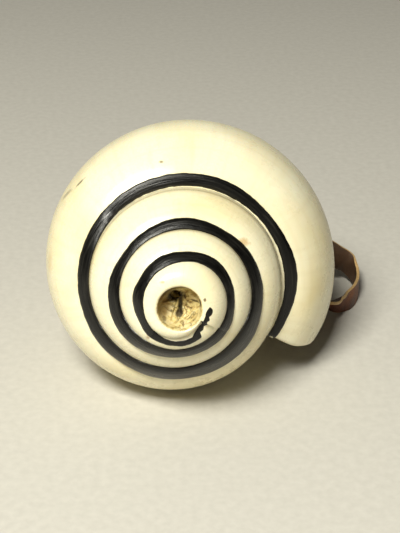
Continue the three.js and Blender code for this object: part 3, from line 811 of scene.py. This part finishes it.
# %% Its uneven edge, and what the materials read
lumps = add(bead, NOISE, {"Vector": point, "W": seed, "Detail": 2.0,
                          "Scale": add(bead, MATH, [1.0, lump], operation="DIVIDE")}, noise_dimensions="4D")
pull = add(bead, RANGE, [lumps, 0.25, 0.75, add(bead, MATH, [uneven, -1.0], operation="MULTIPLY"), uneven])
pull = add(bead, MATH, [pull, wide], operation="MULTIPLY")
way = add(bead, VECTOR, [half], operation="NORMALIZE")
point = add(bead, VECTOR, [point, add(bead, VECTOR, {0: way, "Scale": pull}, operation="SCALE")])
flow = add(bead, "GeometryNodeMeshGrid", {"Vertices X": length, "Vertices Y": columns})
flow = add(bead, "GeometryNodeSetPosition", {"Geometry": flow, "Position": point})
so_far = add(bead, MATH, [row, length], operation="DIVIDE")
for label, value in (("along", so_far), ("edge", wide), ("face", thick)):
    flow = add(bead, "GeometryNodeStoreNamedAttribute", {"Geometry": flow, "Name": label, "Value": value})
flow = add(bead, "GeometryNodeMergeByDistance", {"Geometry": flow, "Distance": 3e-6})
flow = add(bead, "GeometryNodeSetShadeSmooth", {"Geometry": flow})
flow = add(bead, "GeometryNodeRealizeInstances", {"Geometry": flow})
flow = add(bead, "GeometryNodeSetMaterial", {"Geometry": flow, "Material": given["Material"]})
bead.links.new(flow, bead_out)
print("bead tree:", len(bead.nodes), "nodes")

# %% [markdown]
# ## The lac in the seam
# Each point of the lac's line lies in the corner between a whorl and the wall of the older one. The
# half width reaches from the edge on the wall to the edge on the shoulder. The lac was laid by hand:
# its width changes along the seam, and near the mouth hole it runs out in a thin broken streak. The
# shell has no groove for it here: the bead is sunk into the shell, and only its outside shows.

# %% Where the lac's two edges lie
# in millimetres outwards from the corner of the seam, by place; less than nothing lies up the wall
OUTER_EDGE = [(-0.045, 3), (0, 3.8), (0.05, 5.1), (0.09, 4.5), (0.13, 3.6), (0.175, 3.3), (0.22, 4),
              (0.3, 3.9), (0.47, 3.2), (0.6, 3.2), (0.65, 3.9), (0.72, 3.5), (0.76, 4), (0.8, 3.5),
              (0.95, 3.9), (1.01, 3), (1.05, 3.2), (1.13, 2.9), (1.2, 2.3), (1.3, 2.9), (1.37, 2.3),
              (1.45, 1.85), (1.51, 2.8), (1.64, 3.4), (1.76, 2), (1.85, 1.8), (1.95, 2.4), (2.04, 1.9),
              (2.13, 2.6), (2.2, 2.7), (2.29, 1.85), (2.34, 2.2), (2.47, 1.5), (2.51, 2.1), (2.59, 1.7),
              (2.63, 1.6), (2.675, 2.5), (2.72, 2.2), (2.77, 2.6), (2.84, 3.3), (2.88, 3.2), (2.894, 3.1),
              (2.9, 1.7), (2.92, 1.9), (2.935, 1.4), (2.95, 2), (2.965, 1.4), (2.98, 1.9), (2.995, 1.4),
              (3.01, 2), (3.03, 2), (3.048, 1.7)]
INNER_EDGE = [(-0.045, 0.5), (0, 0.9), (0.05, 1), (0.13, 0.6), (0.18, 0.2), (0.26, 0.3), (0.42, 0),
              (0.5, -0.2), (0.6, -0.1), (0.7, -0.6), (0.76, -1.5), (0.88, -2), (0.967, -1.75),
              (1.01, -0.5), (1.06, -0.25), (1.15, -0.12), (1.25, -0.12), (1.4, -0.15), (1.6, -0.3),
              (1.64, -0.7), (1.717, -1.6), (1.8, -1.6), (1.88, -1.6), (1.967, -0.7), (2.05, -0.1),
              (2.15, -0.08), (2.217, -0.1), (2.26, -0.2), (2.34, -0.6), (2.46, -0.9), (2.55, -0.95),
              (2.633, -0.5), (2.717, 0.3), (2.76, 0.9), (2.8, 1.3), (2.86, 1.4), (2.88, 0.5),
              (2.92, 0.15), (2.935, 0.45), (2.95, -0.1), (2.965, 0.2), (2.995, 0.35), (3.01, 0.2),
              (3.048, 0.7)]
n = np.concatenate([np.linspace(LIP + 0.001, LIP + 0.02, 16)[:-1], np.linspace(LIP + 0.02, 2.64, 620)[:-1],
                    np.linspace(2.64, LAC_END, 300)])
rim_gap = np.minimum((n - n[0]) * TURN * 31 + 0.9, (n[-1] - n) * TURN * 6.9)  # millimetres from the nearer end
full = np.sqrt(np.clip(1 - (1 - np.clip(rim_gap, 0, 1)) ** 2, 0.0004, 1))
# the hand moved in long strokes, and in short ones at the hole
soft = mix(0.028, 0.003, smooth((n - 2.72) / 0.12))
edges = []
for table in (OUTER_EDGE, INNER_EDGE):
    beyond, centre = (sum(sum(knots(t, n + soft * k / 4) for k in range(-4, 5)) / 9 for t in some) / len(some)
                      for some in ([table], [OUTER_EDGE, INNER_EDGE]))
    beyond = mix(centre, beyond, full)
    above = place(corner(n)[0] + beyond, 60 + 0 * n, n)
    edges.append(np.array([skin_search.ray_cast(Vector(p), Vector((0, 0, -1)))[0] for p in above]))

# %% The lac
middle, half = (edges[0] + edges[1]) / 2, (edges[0] - edges[1]) / 2
size = np.linalg.norm(half, axis=1)[:, None]
forward = np.gradient(middle, axis=0)
outward = np.cross(half, forward)
outward *= np.sign(outward[:, 2:]) / np.linalg.norm(outward, axis=1)[:, None]
laid_down = np.array(lay_down.to_3x3()).T
lac_line = [lay_down @ Vector(p) for p in middle - 0.0001 * outward]
lac = grow("lac", lac_line, bead, {
    "Points around": 22, "Squareness": 0.8, "Uneven edge": 0.00016, "Lump length": 0.0022, "Seed": 7.0,
    "Material": lac_stuff},
    {"half_width": half * 1.04 @ laid_down, "out": outward * (0.00012 + 0.28 * size) @ laid_down,
     "into": -outward * (0.0003 + 0.7 * size) @ laid_down})

# %% [markdown]
# ## The carrying loop
# It is one strip of vegetable-tanned leather, 8 mm wide and 1.2 mm thick. It passes through the hole
# in the lip, stands on its edge beside the shell and returns under the lip. A curve through a few
# points carries its middle, and a second one the way its width points, so that it can twist.

# %% The leather strip
STRAP_WIDTH, STRAP_THICKNESS = 8.0, 1.2
route = np.array([
    [37.2, 53.2, 23, 0, 0, -1], [41.6, 56.7, 22.6, 0, 0, -1], [46.4, 60.6, 19.2, 0, 0, -1],
    [51.2, 63.4, 14.8, 0, 0, -1], [56.1, 65, 10.8, 0, 0, -1], [60.6, 65.2, 7.4, 0, 0, -1],
    [63, 61, 4.6, 0, 0, -1], [62.9, 55.9, 4, 0, 0, -1], [61, 49.6, 4, 0, 0, -1],
    [58.9, 46.2, 4, 0, 0.05, -1], [56.2, 43.8, 4.2, 0, 0.3, -0.95], [53, 40.2, 6.3, 0, 0.7, -0.71],
    [50, 37, 8.2, 0, 0.88, -0.47], [44.5, 38.2, 9.2, 0, 0.88, -0.47], [38, 40.4, 12, 0.1, 0.8, -0.6],
    [32.4, 43.6, 17, 0, 0.5, -0.86], [31.4, 47.8, 21.4, 0, 0.1, -1], [33.4, 50.2, 23, 0, 0, -1]])


def loop(points, steps):
    """A smooth closed curve through the points, with steps to each of them, and one more to close it."""
    curve = []
    for i in range(len(points)):
        a, b, c, d = (points[(i + k) % len(points)] for k in (-1, 0, 1, 2))
        ab, bc, cd = (max(np.linalg.norm(q - p) ** 0.5, 1e-4) for p, q in ((a, b), (b, c), (c, d)))
        start = ((b - a) / ab - (c - a) / (ab + bc) + (c - b) / bc) * bc
        finish = ((c - b) / bc - (d - b) / (bc + cd) + (d - c) / cd) * bc
        t = (np.arange(steps) / steps)[:, None]
        curve.append(b + start * t + (3 * (c - b) - 2 * start - finish) * t**2
                     + (2 * (b - c) + start + finish) * t**3)
    curve = np.concatenate(curve)
    return np.vstack([curve, curve[:1]])


middle, side_arrow = loop(route[:, :3], 14), loop(route[:, 3:], 14)
along = np.gradient(np.vstack([middle[-2], middle, middle[1]]), axis=0)[1:-1]
along /= np.linalg.norm(along, axis=1)[:, None]
side_arrow = side_arrow - along * (side_arrow * along).sum(1)[:, None]
side_arrow /= np.linalg.norm(side_arrow, axis=1)[:, None]
face_arrow = np.cross(along, side_arrow) * STRAP_THICKNESS / 2000
strap = grow("strap_leather", (middle + SHIFT) / 1000, bead, {
    "Points around": 44, "Squareness": 0.22, "Uneven edge": 0.00004, "Lump length": 0.006, "Seed": 3.0,
    "Material": leather_stuff},
    {"half_width": side_arrow * STRAP_WIDTH / 2000, "out": face_arrow, "into": -face_arrow})

# %% [markdown]
# ## Floor, light and camera
# A plain pale floor and one soft lamp above and left of the camera, with a weak even light from all
# round. The photograph's lamp seems to stand about 10 degrees lower. Ours is raised, because a pale
# floor throws light back on the low sides. The camera stands a little under half a metre away and
# looks down at 28 degrees, about 13 degrees steeper than the shell's axis.

# %% Stage
world = bpy.data.worlds.new("pale_room")
bpy.context.scene.world = world
world.use_nodes = True
world.node_tree.nodes["Background"].inputs[0].default_value = (1, 0.95, 0.86, 1)
world.node_tree.nodes["Background"].inputs[1].default_value = 0.06
floor_mesh = bpy.data.meshes.new("floor")
floor_mesh.from_pydata([(-3, -3, 0), (3, -3, 0), (3, 3, 0), (-3, 3, 0)], [], [(0, 1, 2, 3)])
floor = bpy.data.objects.new("floor", floor_mesh)
bpy.context.scene.collection.objects.link(floor)
floor.data.materials.append(floor_stuff)
floor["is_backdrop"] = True
lamp = bpy.data.objects.new("soft_lamp", bpy.data.lights.new("soft_lamp", "AREA"))
lamp.data.shape, lamp.data.size, lamp.data.size_y, lamp.data.energy = "RECTANGLE", 0.35, 0.25, 13.5
lamp.data.color = (1, 0.98, 0.88)
lamp.location = (-0.24, -0.54, 0.77)
lamp.rotation_euler = (Vector((0, -0.03, 0.04)) - lamp.location).to_track_quat("-Z", "Y").to_euler()
bpy.context.scene.collection.objects.link(lamp)
camera = bpy.data.objects.new("camera", bpy.data.cameras.new("camera"))
FOCAL_LENGTH, PHOTO_HEIGHT, SENSOR = 1395, 533, 36  # pixels, pixels, millimetres
camera.data.lens, camera.data.sensor_width = SENSOR * FOCAL_LENGTH / PHOTO_HEIGHT, SENSOR
camera.matrix_world = Matrix(((0.999407, 0.016273, -0.030375, -0.01792),
                              (-0.034454, 0.471962, -0.880944, -0.40207),
                              (0, 0.881463, 0.472252, 0.236948), (0, 0, 0, 1)))
bpy.context.scene.collection.objects.link(camera)
bpy.context.scene.camera = camera
bpy.context.scene.view_settings.view_transform = "Standard"

# %% Hide each packed node that a piece replaces, and hang the pieces on the root
for piece, node, slot_name in ((shell, "shell", "shell"), (lac, "suture_inlay", "lac"),
                               (strap, "strap", "leather")):
    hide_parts(node)
    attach(piece, "root")
boxes = [[list(map(float, v)) for v in box] for box in (cad_box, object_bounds())]
print("size", [[round(v, 4) for v in c] for b in boxes for c in b])
